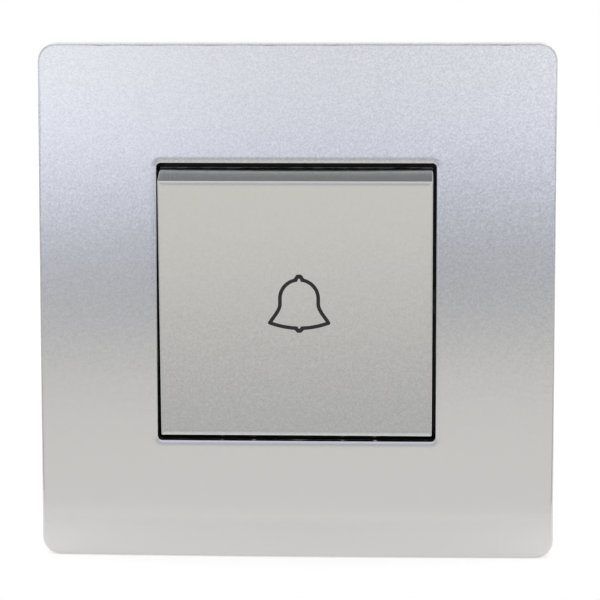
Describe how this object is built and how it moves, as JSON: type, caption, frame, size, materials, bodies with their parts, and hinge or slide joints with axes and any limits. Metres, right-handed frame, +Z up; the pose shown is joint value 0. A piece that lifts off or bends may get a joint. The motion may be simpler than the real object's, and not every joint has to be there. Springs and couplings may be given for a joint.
{
  "type": "bell push",
  "caption": "Flush wall bell push with a silver cover frame, a sprung rocker that closes a pair of contacts, and a housing with spreader claws for a round wall box.",
  "frame": {"origin": "centre between the two box screw slots, on the back face of the mounting plate, which is the wall plane", "axes": "+X to the right and +Z up as seen from the room, +Y into the wall; the face looks along -Y"},
  "size_m": [0.084, 0.0348, 0.084],
  "materials": {
    "silver_paint": "metallic silver lacquer on moulded plastic, satin",
    "black_plastic": "moulded plastic, matt",
    "grey_plastic": "moulded plastic, matt",
    "white_plastic": "low friction plastic, satin",
    "zinc_steel": "zinc plated claws and screws",
    "black_steel": "black electro-coated sheet and screws, satin",
    "brass": "plain",
    "contact_silver": "silver contact metal",
    "spring_steel": "drawn wire"
  },
  "bodies": {
    "base": {"cover_frame": "silver_paint", "cover_screws": "zinc_steel", "fixed_contact_left": "contact_silver", "fixed_contact_right": "contact_silver", "housing_cover": "black_plastic", "mechanism_housing": "grey_plastic", "mounting_plate": "black_steel", "return_spring": "spring_steel", "terminal_block_left": "brass", "terminal_block_right": "brass", "terminal_screw_left": "zinc_steel", "terminal_screw_right": "zinc_steel", "terminal_strip_left": "brass", "terminal_strip_right": "brass"},
    "rocker": {"rocker": "silver_paint", "rocker_lever": "black_plastic"},
    "plunger": {"plunger": "white_plastic", "contact_bridge": "brass", "moving_contact_left": "contact_silver", "moving_contact_right": "contact_silver"},
    "claw_left": {"claw_left": "zinc_steel"},
    "claw_right": {"claw_right": "zinc_steel"},
    "claw_screw_left": {"claw_screw_left": "black_steel"},
    "claw_screw_right": {"claw_screw_right": "black_steel"}
  },
  "joints": [
    {"name": "rocker_pivot", "type": "hinge", "parent": "base", "child": "rocker", "pos_m": [0, -0.002, 0], "axis": [-1, 0, 0], "range_deg": [0, 11]},
    {"name": "plunger_slide", "type": "slide", "parent": "base", "child": "plunger", "axis": [0, 1, 0], "range_m": [0, 0.00172], "stiffness_N_per_m": 2280, "springref_m": -0.0007, "deforming": ["return_spring"]},
    {"name": "claw_left_pivot", "type": "hinge", "parent": "base", "child": "claw_left", "pos_m": [-0.027, 0.003, 0], "axis": [0, 0, 1], "range_deg": [0, 30]},
    {"name": "claw_screw_left_feed", "type": "slide", "parent": "base", "child": "claw_screw_left", "axis": [0, 1, 0], "range_m": [0, 0.00169]},
    {"name": "claw_right_pivot", "type": "hinge", "parent": "base", "child": "claw_right", "pos_m": [0.027, 0.003, 0], "axis": [0, 0, -1], "range_deg": [0, 30]},
    {"name": "claw_screw_right_feed", "type": "slide", "parent": "base", "child": "claw_screw_right", "axis": [0, 1, 0], "range_m": [0, 0.00169]}
  ],
  "couplings": [
    {"joint": "rocker_pivot", "follows": "plunger_slide", "rad_per_m": 111.27},
    {"joint": "claw_left_pivot", "follows": "claw_screw_left_feed", "rad_per_m": 310.26},
    {"joint": "claw_right_pivot", "follows": "claw_screw_right_feed", "rad_per_m": 310.26}
  ]
}
